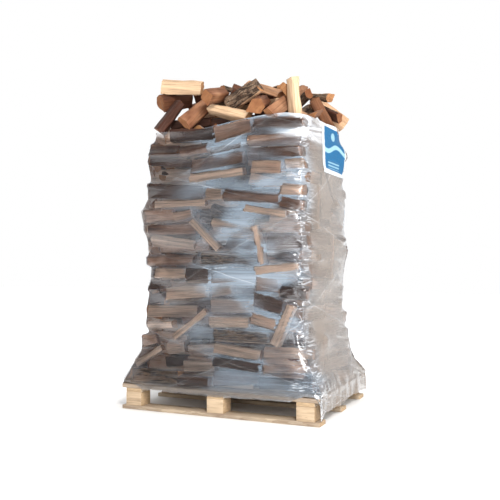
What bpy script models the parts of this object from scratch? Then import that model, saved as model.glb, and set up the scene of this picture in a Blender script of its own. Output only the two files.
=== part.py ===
"""A pallet of split firewood, wrapped in stretch film.

Metres, +Z up. X runs along the long front of the pallet and the front faces -Y. The origin is on
the floor, under the middle of the pallet.
"""

import math
import random

import bmesh
import bpy
import numpy as np
from mathutils import Matrix, Vector
from mathutils.bvhtree import BVHTree

GAP = 0.0003

# Pallet
PALLET_LENGTH = 1.200
PALLET_DEPTH = 0.900
BOARD = 0.022
BLOCK_HEIGHT = 0.078
BLOCK_WIDTH = 0.100
BLOCK_OVERHANG = 0.028
BOARD_WIDTH = 0.100
DECK_BOARD_WIDTH = 0.120
DECK_BOARDS = 5
DECK_TOP = 3 * BOARD + BLOCK_HEIGHT

# Stretch film. Each outline is a list of heights and the place of one corner or side there.
FILM_THICKNESS = 0.0015
FRONT_LEFT_X = [
    (0.165, -0.610), (0.30, -0.590), (0.44, -0.525), (0.58, -0.560), (0.72, -0.514), (0.83, -0.514),
    (0.97, -0.548), (1.15, -0.576), (1.27, -0.508), (1.45, -0.556), (1.57, -0.502), (1.65, -0.476),
]
BACK_RIGHT_X = [
    (0.05, 0.628), (0.165, 0.622), (0.24, 0.582), (0.45, 0.548), (0.64, 0.536), (0.94, 0.568),
    (1.05, 0.550), (1.16, 0.556), (1.42, 0.532), (1.50, 0.568), (1.61, 0.526), (1.70, 0.522),
]
FRONT_RIGHT_X = [(0.05, 0.626), (0.165, 0.616), (0.26, 0.545), (0.42, 0.512), (0.70, 0.497), (1.66, 0.492)]
BACK_LEFT_X = [
    (0.165, -0.610), (0.28, -0.570), (0.50, -0.530), (0.80, -0.556), (1.05, -0.520), (1.35, -0.552),
    (1.66, -0.496),
]
FRONT_Y = [(0.165, -0.456), (0.24, -0.408), (0.38, -0.372), (0.80, -0.362), (1.20, -0.374), (1.66, -0.356)]
BACK_Y = [(0.165, 0.456), (0.24, 0.410), (0.38, 0.376), (0.75, 0.366), (1.15, 0.380), (1.68, 0.352)]
CORNER_ROUND = [(0.17, 0.012), (0.34, 0.050)]
# Hem and top edge: the way round, one a side from the front left corner, and the height there.
HEM = [
    (0.0, 0.153), (0.08, 0.152), (0.14, 0.116), (0.50, 0.110), (0.84, 0.118), (0.90, 0.152), (0.955, 0.150),
    (1.0, 0.030), (1.12, 0.052), (1.45, 0.046), (1.70, 0.056), (2.0, 0.050), (2.10, 0.114), (2.55, 0.108),
    (2.95, 0.116), (3.5, 0.110), (3.9, 0.118), (4.0, 0.153),
]
RIM = [
    (0.0, 1.615), (0.30, 1.604), (0.52, 1.636), (0.72, 1.657), (0.90, 1.664), (1.0, 1.652), (1.5, 1.655),
    (2.0, 1.676), (2.6, 1.655), (3.2, 1.662), (3.7, 1.630), (4.0, 1.615),
]
SKIRT_TOP = 0.166
FILM_ROWS = 15
SIDE_COLUMNS = 5
CORNER_COLUMNS = 3

# Label, on the right side of the wrap
LABEL_Y = (-0.07, 0.32)
LABEL_Z = (1.365, 1.640)
LABEL_CELLS = (6, 12)
LABEL_LIFT = 0.0050
LABEL_THICKNESS = 0.0006

# Firewood
CLEAR_OF_FILM = 0.0020
LOG_LENGTH = (0.26, 0.34)
LOG_WIDTH = (0.078, 0.112)
SUNK = 0.010
CORE_INSET = 0.042
CORE_ROWS = 14
CORE_TOP = 1.595
STACK_TOP = 1.545
CORNER_LOG = 0.095
CELL = 0.005
BASIN = 0.040
STEEPEST = 16
SMALLEST = 0.110
BED_RISE = 0.055
BED_WIDTH = 0.080
LOG_GAP = 0.002
SIDE_REACH = 0.66
SHORT_LOG = 0.12
SHORTEST = 0.03
TRIM = 0.008
CORNER_SHARE = 0.13
END_CLEAR = 0.012
TAPER = (0.84, 0.97)
SKEW = 0.12
SIDE_SEEDS = (11, 12, 13, 14)
BED_SEED = 5
# Layers of logs laid side by side on the core: heading, rows, places in a row, and the space in
# metres that they cover along X and Y.
BED_LAYERS = [(90, 9, 2, 0.84, 0.53), (0, 4, 3, 0.82, 0.42)]
# Logs heaped every way on the bed: how many, half the space they cover, their middles, lean and size.
HEAP_LOGS = 3
HEAP_SEED = 31
HEAP_SPREAD = (0.30, 0.10)
HEAP_MIDDLES = (1.675, 1.695)
HEAP_LEAN = (-14, 14)
HEAP_LENGTH = (0.22, 0.30)
HEAP_WIDTH = (0.100, 0.125)

# Logs that stand out on the front and on the right side: place along the side, height of the
# middle, slope in degrees, length and width.
FRONT_LOGS = [
    (-0.47, 0.28, 31, 0.20, 0.060), (-0.21, 0.43, 38, 0.26, 0.062), (0.32, 0.70, 6, 0.25, 0.072),
    (0.39, 0.83, 2, 0.24, 0.056), (-0.11, 0.88, -44, 0.24, 0.063), (-0.34, 0.77, -1, 0.20, 0.085),
    (0.22, 0.96, -78, 0.22, 0.060), (-0.27, 1.10, 0, 0.33, 0.060), (0.26, 1.12, -10, 0.25, 0.056),
    (-0.04, 1.29, 4, 0.34, 0.064), (0.36, 0.50, 66, 0.24, 0.074),
]
RIGHT_LOGS = [
    (-0.14, 0.30, 62, 0.22, 0.088), (0.05, 0.84, 84, 0.25, 0.064), (-0.16, 1.14, 90, 0.24, 0.056),
    (0.02, 1.22, -52, 0.26, 0.068),
]

# Loose logs that stand out on top: place, heading, lean above level, roll, length, width and form.
TOP_LOGS = [
    (0.415, -0.305, 188, 85, 35, 0.22, 0.080, "stick"),
    (-0.40, -0.28, 20, 58, 200, 0.22, 0.140, "half"),
    (-0.37, -0.16, 70, 24, 20, 0.22, 0.120, "quarter"),
    (-0.25, -0.27, 60, 40, 75, 0.20, 0.110, "half"),
    (0.04, -0.27, 172, 28, 40, 0.28, 0.085, "stick"),
    (0.30, -0.27, 60, 40, 20, 0.18, 0.100, "wedge"),
    (-0.10, -0.26, 84, 26, 50, 0.18, 0.095, "stick"),
    (0.17, -0.24, 98, 30, 110, 0.20, 0.120, "quarter"),
    (-0.36, -0.17, 12, 6, 20, 0.25, 0.110, "quarter"),
    (0.31, -0.17, 96, 18, 60, 0.24, 0.110, "half"),
]
FILL_TOP_LOGS = 27
FILL_SEED = 31
FILL_X = (-0.42, 0.44)
FILL_Y = (-0.27, 0.28)
FILL_LEAN = (5, 58)
FILL_LENGTH = (0.18, 0.27)
FILL_WIDTH = (0.075, 0.112)
TRIES = 56
# The heap as seen from in front, past one corner: the eye, the heap's outline in an upright plane
# through the middle of the stack, as places across and heights, and the spacing of the points there
# that the logs hide one after another. A point that is hidden outside the outline counts against.
EYE = (1.71, -3.90, 0.85)
HEAP_OUTLINE = [
    (-0.62, 1.60), (-0.60, 1.74), (-0.56, 1.89), (-0.41, 1.87), (-0.29, 1.87), (-0.12, 1.96),
    (0.06, 1.94), (0.30, 1.95), (0.42, 1.92), (0.53, 1.87), (0.58, 1.79), (0.58, 1.60),
]
POINT_PITCH = 0.014
OUTSIDE_COUNTS = 1.5
HEIGHT_COUNTS = 40
DROP_FROM = 2.3
FIRST_STEP = 0.016
LAST_STEP = 0.0004
# Shaking down: how many moves, how far each goes, and how far a log may go and turn in all.
SHAKES = 320
SHAKE_STEP = 0.014
SHAKE_TURN = 7
FURTHEST = 0.040
FURTHEST_TURN = 12
FILL_FURTHEST_TURN = 20

# Sections of split logs, as corner angles in degrees and distances from the middle, in half widths
SECTIONS = {
    "quarter": [(225, 1.05), (325, 0.84), (20, 0.95), (70, 0.95), (125, 0.84)],
    "wedge": [(215, 1.10), (330, 0.82), (25, 0.95), (75, 0.85)],
    "half": [(195, 0.95), (345, 0.95), (25, 0.92), (90, 0.80), (155, 0.92)],
    "stick": [(40, 1.05), (130, 0.98), (222, 1.08), (318, 0.95)],
}


def clear_scene():
    for item in list(bpy.data.objects):
        bpy.data.objects.remove(item, do_unlink=True)


def collection(name):
    made = bpy.data.collections.new(name)
    bpy.context.scene.collection.children.link(made)
    return made


def material(name, colour, roughness, alpha=1.0):
    made = bpy.data.materials.new(name)
    made.use_nodes = True
    shader = made.node_tree.nodes["Principled BSDF"]
    shader.inputs["Base Color"].default_value = (*colour, 1.0)
    shader.inputs["Roughness"].default_value = roughness
    shader.inputs["Metallic"].default_value = 0.0
    shader.inputs["Alpha"].default_value = alpha
    return made


def add_object(name, bm, home, look):
    """Turn a bmesh into a named object with one material."""
    mesh = bpy.data.meshes.new(name)
    bmesh.ops.recalc_face_normals(bm, faces=bm.faces)
    bm.to_mesh(mesh)
    bm.free()
    made = bpy.data.objects.new(name, mesh)
    home.objects.link(made)
    made.data.materials.append(look)
    return made


# Pallet


def board(name, size, low_corner, home, look):
    """A sawn board or block, given its size and its lowest corner."""
    bm = bmesh.new()
    middle = [low + side / 2 for low, side in zip(low_corner, size)]
    place = Matrix.Translation(middle) @ Matrix.Diagonal((*size, 1.0))
    bmesh.ops.create_cube(bm, size=1.0, matrix=place)
    return add_object(name, bm, home, look)


def make_pallet(home):
    sawn = material("sawn_pine", (0.52, 0.42, 0.31), 0.80)
    aged = material("block_wood", (0.50, 0.40, 0.29), 0.85)
    left, front = -PALLET_LENGTH / 2, -PALLET_DEPTH / 2
    column_x = [left + BLOCK_OVERHANG, -BLOCK_WIDTH / 2, -left - BLOCK_OVERHANG - BLOCK_WIDTH]
    row_y = [front, -BOARD_WIDTH / 2, -front - BOARD_WIDTH]
    for row, y in zip(("front", "middle", "back"), row_y):
        size = (PALLET_LENGTH, BOARD_WIDTH, BOARD - GAP)
        board(f"bottom_board_{row}", size, (left, y, 0.0), home, sawn)
        for column, x in zip(("left", "middle", "right"), column_x):
            size = (BLOCK_WIDTH, BOARD_WIDTH, BLOCK_HEIGHT - GAP)
            board(f"block_{row}_{column}", size, (x, y, BOARD), home, aged)
    for column, x in zip(("left", "middle", "right"), column_x):
        size = (BLOCK_WIDTH, PALLET_DEPTH, BOARD - GAP)
        board(f"cross_board_{column}", size, (x, front, BOARD + BLOCK_HEIGHT), home, sawn)
    pitch = (PALLET_DEPTH - DECK_BOARD_WIDTH) / (DECK_BOARDS - 1)
    for i in range(DECK_BOARDS):
        size = (PALLET_LENGTH, DECK_BOARD_WIDTH, BOARD)
        low = (left, front + i * pitch, DECK_TOP - BOARD)
        board(f"deck_board_{i + 1}", size, low, home, sawn)


# Stretch film


def at(outline, place):
    places, values = zip(*outline)
    return float(np.interp(place, places, values))


def wrap_corners(z, inset=0.0):
    """The corners of the wrap at a height, from the front left one, anticlockwise from above."""
    front, back = at(FRONT_Y, z) + inset, at(BACK_Y, z) - inset
    return [
        Vector((at(FRONT_LEFT_X, z) + inset, front)),
        Vector((at(FRONT_RIGHT_X, z) - inset, front)),
        Vector((at(BACK_RIGHT_X, z) - inset, back)),
        Vector((at(BACK_LEFT_X, z) + inset, back)),
    ]


def wrap_point(way, part, z, inset=0.0):
    """A point of the wrap. way counts the corners, part is the share of the arc or the side."""
    corners = wrap_corners(z, inset)
    corner, after, before = corners[way % 4], corners[(way + 1) % 4], corners[way - 1]
    turn = at(CORNER_ROUND, z)
    start = corner + (before - corner).normalized() * turn
    end = corner + (after - corner).normalized() * turn
    if part <= 1.0:
        return (1 - part) ** 2 * start + 2 * part * (1 - part) * corner + part**2 * end
    reach = after + (corner - after).normalized() * turn
    return end.lerp(reach, part - 1.0)


def wrap_columns(side_columns, corner_columns):
    """Every column of the wrap: its corner, the share of the arc or side, and the way round."""
    columns = []
    for way in range(4):
        for i in range(corner_columns):
            part = i / corner_columns
            columns.append((way, part, (way + 0.05 * (part - 0.5)) % 4))
        for i in range(side_columns):
            part = i / side_columns
            columns.append((way, 1.0 + part, way + 0.025 + 0.95 * part))
    return columns


def make_film(home):
    """A loft from the hem to the top edge, then thickened inwards."""
    bm = bmesh.new()
    rows = []
    for i in range(-1, FILM_ROWS):
        share = max(i, 0) / (FILM_ROWS - 1)
        ring = []
        for way, part, way_round in wrap_columns(SIDE_COLUMNS, CORNER_COLUMNS):
            z = SKIRT_TOP * (1 - share) + at(RIM, way_round) * share if i >= 0 else at(HEM, way_round)
            ring.append(bm.verts.new((*wrap_point(way, part, z), z)))
        rows.append(ring)
    for low, high in zip(rows, rows[1:]):
        for i in range(len(low)):
            bm.faces.new((low[i - 1], low[i], high[i], high[i - 1]))
    look = material("stretch_film", (0.55, 0.56, 0.57), 0.25, alpha=0.35)
    film = add_object("stretch_film", bm, home, look)
    shell = film.modifiers.new("thickness", "SOLIDIFY")
    shell.thickness = FILM_THICKNESS
    shell.offset = -1.0
    shell.use_even_offset = True
    return film


def surface_tree(item):
    """A search tree of an object's surface as it is shown."""
    return BVHTree.FromObject(item, bpy.context.evaluated_depsgraph_get())


def make_label(home, film):
    """A sheet on the right side of the wrap, lifted a little off its surface."""
    tree = surface_tree(film)
    cells_y, cells_z = LABEL_CELLS
    bm = bmesh.new()
    grid = []
    for j in range(cells_z + 1):
        row = []
        for i in range(cells_y + 1):
            y = LABEL_Y[0] + (LABEL_Y[1] - LABEL_Y[0]) * i / cells_y
            z = LABEL_Z[0] + (LABEL_Z[1] - LABEL_Z[0]) * j / cells_z
            hit = tree.ray_cast(Vector((1.0, y, z)), Vector((-1.0, 0.0, 0.0)))[0]
            row.append(bm.verts.new((hit.x + LABEL_LIFT, y, z)))
        grid.append(row)
    for low, high in zip(grid, grid[1:]):
        for i in range(cells_y):
            bm.faces.new((low[i], low[i + 1], high[i + 1], high[i]))
    label = add_object("label", bm, home, material("label", (0.42, 0.60, 0.74), 0.35))
    if label.data.polygons[0].normal.x < 0:
        label.data.flip_normals()
    shell = label.modifiers.new("thickness", "SOLIDIFY")
    shell.thickness = LABEL_THICKNESS
    shell.offset = -1.0
    return label


# Firewood


def section(form, width, roll, rng):
    """The corners of a split log's section, each a little off its place, round its middle."""
    points = []
    for angle, share in SECTIONS[form]:
        turn = math.radians(angle + roll + rng.uniform(-6, 6))
        reach = width / 2 * share * rng.uniform(0.93, 1.05)
        points.append((reach * math.cos(turn), reach * math.sin(turn)))
    low, high = np.min(points, axis=0), np.max(points, axis=0)
    return [(p[0] - (low[0] + high[0]) / 2, p[1] - (low[1] + high[1]) / 2) for p in points]


def add_log(bm, outline, length, place, rng):
    """Add a log along its own X, with its section in Y and Z, then put it in its place."""
    circle = bmesh.ops.create_circle(bm, cap_ends=True, segments=len(outline), radius=1.0)
    start = circle["verts"]
    for vert, (y, z) in zip(start, outline):
        vert.co = (-length / 2, y, z)
    face = next(f for f in bm.faces if set(f.verts) == set(start))
    grown = bmesh.ops.extrude_face_region(bm, geom=[face])["geom"]
    end = [v for v in grown if isinstance(v, bmesh.types.BMVert)]
    bmesh.ops.translate(bm, verts=end, vec=(length, 0.0, 0.0))
    bmesh.ops.delete(bm, geom=[face], context="FACES_KEEP_BOUNDARY")
    bmesh.ops.contextual_create(bm, geom=start)
    taper = rng.uniform(*TAPER)
    for vert in end:
        skew = vert.co.z * rng.uniform(-SKEW, SKEW)
        vert.co = (vert.co.x + skew, vert.co.y * taper, vert.co.z * taper)
    for vert in start + end:
        vert.co = place @ vert.co
    return start + end


def leaning_box(cells, along, length, height, slope):
    """The underside and upper side of a leaning log over the cells of a side, from its middle."""
    c, s = math.cos(slope), math.sin(slope) or 1e-6
    x = cells - along
    across = np.sort([(-length / 2 - x * c) / s, (length / 2 - x * c) / s], axis=0)
    under = np.maximum((x * s - height / 2) / c, across[0])
    over = np.minimum((x * s + height / 2) / c, across[1])
    return under, over, over > under


def rest_height(cells, tops, along, length, height, slope):
    under, _, covered = leaning_box(cells, along, length, height, slope)
    return float(np.max(tops[covered] - under[covered])) if covered.any() else 0.0


class Side:
    """One upright side of the stack, filled from the deck up, each log resting on those below."""

    def __init__(self, ends, standing_out, seed):
        self.cells = np.arange(-SIDE_REACH, SIDE_REACH, CELL)
        self.tops = np.full(len(self.cells), DECK_TOP + LOG_GAP)
        self.ends = ends
        self.waiting = sorted(standing_out, key=lambda log: log[1])
        self.rng = random.Random(seed)
        self.logs = []

    def put(self, along, length, width, slope, form, roll):
        outline = section(form, width, roll, self.rng)
        height = max(p[1] for p in outline) - min(p[1] for p in outline)
        steps = [math.radians(d) for d in range(-STEEPEST, STEEPEST + 1, 2)]
        slopes = steps if slope is None else [slope]
        found = sorted((rest_height(self.cells, self.tops, along, length, height, s), s) for s in slopes)
        middle, slope = self.rng.choice(found[:3])
        _, over, covered = leaning_box(self.cells, along, length, height, slope)
        self.tops[covered] = np.maximum(self.tops[covered], middle + over[covered] + LOG_GAP)
        self.logs.append((along, middle, slope, length, outline))

    def put_waiting(self, level):
        while self.waiting:
            along, middle, degrees, length, width = self.waiting[0]
            slope = math.radians(degrees)
            rise = (length * abs(math.sin(slope)) + width * math.cos(slope)) / 2
            if middle - rise > level + 0.02 or not self.beds(along, middle, length, width, slope, level):
                return
            self.waiting.pop(0)
            self.put(along, length, width, slope, "stick", self.rng.uniform(-12, 12))

    def beds(self, along, middle, length, width, slope, level):
        """Whether a nearly level log would lie on what is below it, and not bridge a hollow."""
        if abs(slope) > math.radians(STEEPEST) or level > middle:
            return True
        under, _, covered = leaning_box(self.cells, along, length, width, slope)
        rest = rest_height(self.cells, self.tops, along, length, width, slope)
        return np.mean(rest + under[covered] - self.tops[covered]) < BASIN

    def fill(self, top):
        while True:
            inside = self.inside()
            low = np.where(inside)[0][np.argmin(self.tops[inside])]
            level = self.tops[low]
            if level > top:
                return self.logs
            self.put_waiting(level)
            self.fill_basin(low, level, inside)

    def inside(self):
        level = float(np.min(self.tops))
        left, right = self.ends(max(level, DECK_TOP))
        inside = (self.cells > left) & (self.cells < right)
        self.tops[~inside] = np.maximum(self.tops[~inside], level + CELL)
        return inside

    def fill_basin(self, low, level, inside):
        """Lay a log in the hollow round the lowest cell, or close a hollow too small for one."""
        open_cells = inside & (self.tops < level + BASIN)
        start = stop = low
        while start > 0 and open_cells[start - 1]:
            start -= 1
        while stop < len(self.cells) - 1 and open_cells[stop + 1]:
            stop += 1
        room = self.cells[stop] - self.cells[start]
        if room < SMALLEST:
            self.tops[start : stop + 1] = level + BASIN
            return
        form = self.rng.choice(["quarter", "wedge", "half", "stick", "quarter"])
        width = self.rng.uniform(*LOG_WIDTH)
        roll = self.rng.choice([0, 90, 180, 270]) + self.rng.uniform(-14, 14)
        length = min(self.rng.uniform(*LOG_LENGTH), room)
        if room - length < SMALLEST:
            length = min(room, LOG_LENGTH[1])
        at_left = self.rng.random() < 0.5
        edge = self.cells[start] + length / 2 if at_left else self.cells[stop] - length / 2
        slope = 0.0 if length < SHORT_LOG else None
        self.put(edge, length - 2 * LOG_GAP, width, slope, form, roll)


def log_samples(verts, steps=7):
    """Points over a log's surface: its corners and middles of its sides at steps along it."""
    half = len(verts) // 2
    points = []
    for i in range(half):
        j = (i - 1) % half
        corner = (verts[i].co, verts[i + half].co)
        side = ((verts[i].co + verts[j].co) / 2, (verts[i + half].co + verts[j + half].co) / 2)
        for a, b in (corner, side):
            points += [a.lerp(b, k / steps) for k in range(steps + 1)]
    return points


def push_out(verts, outward, film_tree):
    """Move a log outwards until it is as near the film as it may be."""
    room = []
    for point in log_samples(verts):
        start = Vector((point.x * abs(outward.y), point.y * abs(outward.x), point.z))
        hit = film_tree.ray_cast(start, outward)[0]
        if hit is not None:
            room.append((hit - point).dot(outward))
    if room:
        for vert in verts:
            vert.co += outward * (min(room) - CLEAR_OF_FILM)


def fit_log(bm, outline, length, place, outward, film_tree, rng):
    """Add a log against the film, shortened until its ends are clear of the film too."""
    state = rng.getstate()
    while length > SHORTEST:
        rng.setstate(state)
        verts = add_log(bm, outline, length, place, rng)
        push_out(verts, outward, film_tree)
        bm.verts.index_update()
        number = {v: i for i, v in enumerate(verts)}
        faces = [[number[v] for v in f.verts] for f in bm.faces if f.verts[0] in number]
        if not film_tree.overlap(BVHTree.FromPolygons([v.co for v in verts], faces)):
            return
        bmesh.ops.delete(bm, geom=verts, context="VERTS")
        length -= TRIM


def side_place(outward, along, height, slope):
    """Where a log of one side lies before it is pushed out: its own X runs along the side."""
    across = Vector((abs(outward.y), abs(outward.x), 0.0))
    turn = Matrix.Identity(4) if across.x else Matrix.Rotation(math.pi / 2, 4, "Z")
    lean = Matrix.Rotation(-slope, 4, "Y")
    return Matrix.Translation(across * along + Vector((0.0, 0.0, height))) @ turn @ lean


def side_ends(outward):
    """How far a side of the stack reaches at a height, along the side."""
    def ends(z):
        levels = [wrap_corners(z, CLEAR_OF_FILM), wrap_corners(z + LOG_WIDTH[1], CLEAR_OF_FILM)]
        if outward.x:
            return max(c[0].y for c in levels) + CORNER_LOG, min(c[2].y for c in levels) - CORNER_LOG
        here, beyond = ((0, 3), (1, 2)) if outward.y < 0 else ((3, 0), (2, 1))
        lefts = [(c[here[0]], c[here[0]].lerp(c[here[1]], CORNER_SHARE)) for c in levels]
        rights = [(c[beyond[0]], c[beyond[0]].lerp(c[beyond[1]], CORNER_SHARE)) for c in levels]
        left = max(max(a.x, b.x) for a, b in lefts)
        right = min(min(a.x, b.x) for a, b in rights)
        return left + END_CLEAR, right - END_CLEAR
    return ends


def stack_sides(bm, film_tree):
    sides = [((0, -1, 0), FRONT_LOGS), ((1, 0, 0), RIGHT_LOGS), ((0, 1, 0), []), ((-1, 0, 0), [])]
    for (way, standing_out), seed in zip(sides, SIDE_SEEDS):
        outward = Vector(way)
        side = Side(side_ends(outward), standing_out, seed)
        for along, height, slope, length, outline in side.fill(STACK_TOP):
            place = side_place(outward, along, height, slope)
            fit_log(bm, outline, length, place, outward, film_tree, side.rng)


def lay_bed(bm):
    """Layers of logs side by side, sunk a little into the top of the core and into each other."""
    rng = random.Random(BED_SEED)
    for layer, (heading, rows, places, long_x, deep_y) in enumerate(BED_LAYERS):
        turn = Matrix.Rotation(math.radians(heading), 4, "Z")
        along, across = (long_x, deep_y) if heading == 0 else (deep_y, long_x)
        pitch = along / places
        for row in range(rows):
            for place in range(places):
                form = rng.choice(["quarter", "half", "stick"])
                outline = section(form, BED_WIDTH, rng.uniform(0, 360), rng)
                lift = CORE_TOP - SUNK + layer * BED_RISE - min(p[1] for p in outline)
                middle = Vector((pitch * (place + 0.5) - along / 2, across * (row / (rows - 1) - 0.5), lift))
                lean = Matrix.Rotation(math.radians(rng.uniform(-3, 3)), 4, "Z")
                place_in_row = turn @ Matrix.Translation(middle) @ lean
                add_log(bm, outline, pitch - END_CLEAR, place_in_row, rng)


def heap_up(bm):
    """Logs heaped every way on the bed, sunk into it and into each other."""
    rng = random.Random(HEAP_SEED)
    for i in range(HEAP_LOGS):
        turn = 2.4 * i
        reach = math.sqrt((i + 0.5) / HEAP_LOGS)
        x, y = HEAP_SPREAD[0] * reach * math.cos(turn), HEAP_SPREAD[1] * reach * math.sin(turn)
        z = HEAP_MIDDLES[1] + (HEAP_MIDDLES[0] - HEAP_MIDDLES[1]) * reach
        place = (
            Matrix.Translation((x, y, z))
            @ Matrix.Rotation(rng.uniform(0, math.tau), 4, "Z")
            @ Matrix.Rotation(math.radians(rng.uniform(*HEAP_LEAN)), 4, "Y")
        )
        outline = section(rng.choice(list(SECTIONS)), rng.uniform(*HEAP_WIDTH), rng.uniform(0, 360), rng)
        add_log(bm, outline, rng.uniform(*HEAP_LENGTH), place, rng)


def make_core(home, look):
    """The inside of the stack, where no single log can be told apart."""
    bm = bmesh.new()
    rows = []
    for z in np.linspace(DECK_TOP + GAP, CORE_TOP, CORE_ROWS):
        ring = [bm.verts.new((*corner, z)) for corner in wrap_corners(z, CORE_INSET)]
        rows.append(ring)
    for low, high in zip(rows, rows[1:]):
        for i in range(4):
            bm.faces.new((low[i - 1], low[i], high[i], high[i - 1]))
    bm.faces.new(rows[0])
    bm.faces.new(rows[-1])
    return add_object("stacked_firewood", bm, home, look)


def make_stack(home, cutters, film):
    """The wrapped logs, told apart on the sides and top, joined to the core of the stack."""
    look = material("split_wood", (0.42, 0.26, 0.14), 0.85)
    core = make_core(home, look)
    bm = bmesh.new()
    stack_sides(bm, surface_tree(film))
    lay_bed(bm)
    heap_up(bm)
    logs = add_object("side_logs", bm, cutters, look)
    logs.hide_render = True
    logs.display_type = "WIRE"
    join = core.modifiers.new("join", "BOOLEAN")
    join.operation = "UNION"
    join.use_self = True
    join.object = logs
    flat = core.modifiers.new("flat", "DECIMATE")
    flat.decimate_type = "DISSOLVE"
    flat.angle_limit = math.radians(0.3)
    return core


def is_free(verts, faces, obstacles):
    tree = BVHTree.FromPolygons(verts, faces)
    return not any(tree.overlap(other) for other in obstacles)


def fall(verts, faces, obstacles):
    """Lower a log until it meets what lies below it."""
    step, down = FIRST_STEP, 0.0
    while step > LAST_STEP:
        lower = Vector((0, 0, down + step))
        if is_free([v - lower for v in verts], faces, obstacles) and down < DROP_FROM:
            down += step
        else:
            step /= 2
    return [v - Vector((0, 0, down)) for v in verts]


def level(verts):
    """What shaking makes less: the height of a log's middle and of its top."""
    return sum(v.z for v in verts) / len(verts) + max(v.z for v in verts) / 2


def shake_down(verts, faces, obstacles, furthest_turn, rng):
    """Small random moves and turns, each kept where the log stays free and comes lower."""
    moved, turned = Vector((0, 0, 0)), Matrix.Identity(3)
    for i in range(SHAKES):
        ease = 1.0 - i / SHAKES
        move = Vector([rng.uniform(-1, 1) * SHAKE_STEP * ease for _ in range(3)])
        axis = Vector([rng.gauss(0, 1) for _ in range(3)]).normalized()
        turn = Matrix.Rotation(math.radians(rng.uniform(-SHAKE_TURN, SHAKE_TURN)) * ease, 3, axis)
        middle = sum(verts, Vector()) / len(verts)
        tried = [turn @ (v - middle) + middle + move for v in verts]
        off = (moved + move).to_2d().length > FURTHEST
        tipped = (turn @ turned).to_quaternion().angle > math.radians(furthest_turn)
        if off or tipped or level(tried) >= level(verts) or not is_free(tried, faces, obstacles):
            continue
        verts, moved, turned = tried, moved + move, turn @ turned
    return verts


def loose_log(shape, rng):
    """A loose log high above the stack, as corners and faces."""
    x, y, heading, lean, roll, length, width, form = shape
    bm = bmesh.new()
    place = (
        Matrix.Translation((x, y, DROP_FROM))
        @ Matrix.Rotation(math.radians(heading), 4, "Z")
        @ Matrix.Rotation(math.radians(-lean), 4, "Y")
    )
    add_log(bm, section(form, width, roll, rng), length, place, rng)
    bmesh.ops.triangulate(bm, faces=bm.faces)
    return bm


def laid(bm, obstacles):
    """A log's corners once it has been lowered, and its faces."""
    faces = [[v.index for v in f.verts] for f in bm.faces]
    return fall([v.co.copy() for v in bm.verts], faces, obstacles), faces


def sight_lines():
    """Directions from the eye to points across the heap, and whether each is inside its outline."""
    eye = Vector(EYE)
    right = Vector((-eye.y, eye.x, 0)).normalized()
    across, heights = [p[0] for p in HEAP_OUTLINE], [p[1] for p in HEAP_OUTLINE]
    lines = []
    for a in np.arange(across[0] - 0.06, across[-1] + 0.10, POINT_PITCH):
        top = float(np.interp(a, across, heights)) if across[0] < a < across[-1] else 0.0
        for z in np.arange(heights[0], max(heights) + 0.14, POINT_PITCH):
            lines.append(((right * a + Vector((0, 0, z)) - eye).normalized(), bool(z < top)))
    return lines


def still_open(lines, tree):
    """The lines of sight that pass by a log."""
    eye = Vector(EYE)
    return [line for line in lines if tree.ray_cast(eye, line[0])[0] is None]


def worth(lines, verts, faces):
    """What a log hides of the gaps in the heap, less what it hides outside it, less its height."""
    left = still_open(lines, BVHTree.FromPolygons(verts, faces))
    inside = sum(line[1] for line in lines) - sum(line[1] for line in left)
    outside = len(lines) - len(left) - inside
    return inside - OUTSIDE_COUNTS * outside - HEIGHT_COUNTS * sum(v.z for v in verts) / len(verts)


def any_log(rng):
    x, y = rng.uniform(*FILL_X), rng.uniform(*FILL_Y)
    heading, lean, roll = rng.uniform(0, 360), rng.uniform(*FILL_LEAN), rng.uniform(0, 360)
    length, width = rng.uniform(*FILL_LENGTH), rng.uniform(*FILL_WIDTH)
    return x, y, heading, lean, roll, length, width, rng.choice(list(SECTIONS))


def make_top_logs(home, film, stack):
    """Loose logs, each resting on those before it. The ones in between go where they hide most gaps."""
    obstacles = [surface_tree(film), surface_tree(stack)]
    lines = sight_lines()
    for tree in obstacles:
        lines = still_open(lines, tree)
    pale = material("pale_split_wood", (0.62, 0.45, 0.28), 0.80)
    rng = random.Random(FILL_SEED)
    choices = [[log] for log in TOP_LOGS]
    choices += [[any_log(rng) for _ in range(TRIES)] for _ in range(FILL_TOP_LOGS)]
    for i, shapes in enumerate(choices):
        tried = [loose_log(shape, rng) for shape in shapes]
        results = [laid(bm, obstacles) for bm in tried]
        best = max(range(len(tried)), key=lambda k: worth(lines, *results[k]))
        verts, faces = results[best]
        furthest_turn = FURTHEST_TURN if i < len(TOP_LOGS) else FILL_FURTHEST_TURN
        verts = shake_down(verts, faces, obstacles, furthest_turn, rng)
        bm = tried[best]
        for vert, place in zip(bm.verts, verts):
            vert.co = place
        obstacles.append(BVHTree.FromPolygons(verts, faces))
        lines = still_open(lines, obstacles[-1])
        add_object(f"top_log_{i + 1:02d}", bm, home, pale)


def main():
    clear_scene()
    parts = collection("pallet_of_firewood")
    cutters = collection("cutters")
    make_pallet(parts)
    film = make_film(parts)
    make_label(parts, film)
    stack = make_stack(parts, cutters, film)
    make_top_logs(parts, film, stack)


main()
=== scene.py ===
"""Looks of a pallet of split firewood, wrapped in stretch film and heaped above its open top.

Metres, +Z up. X runs along the long front of the pallet and the front faces -Y.
"""

import math
import random

import bmesh
import bpy
import numpy as np
from mathutils import Matrix, Vector, noise
from mathutils.bvhtree import BVHTree


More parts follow.
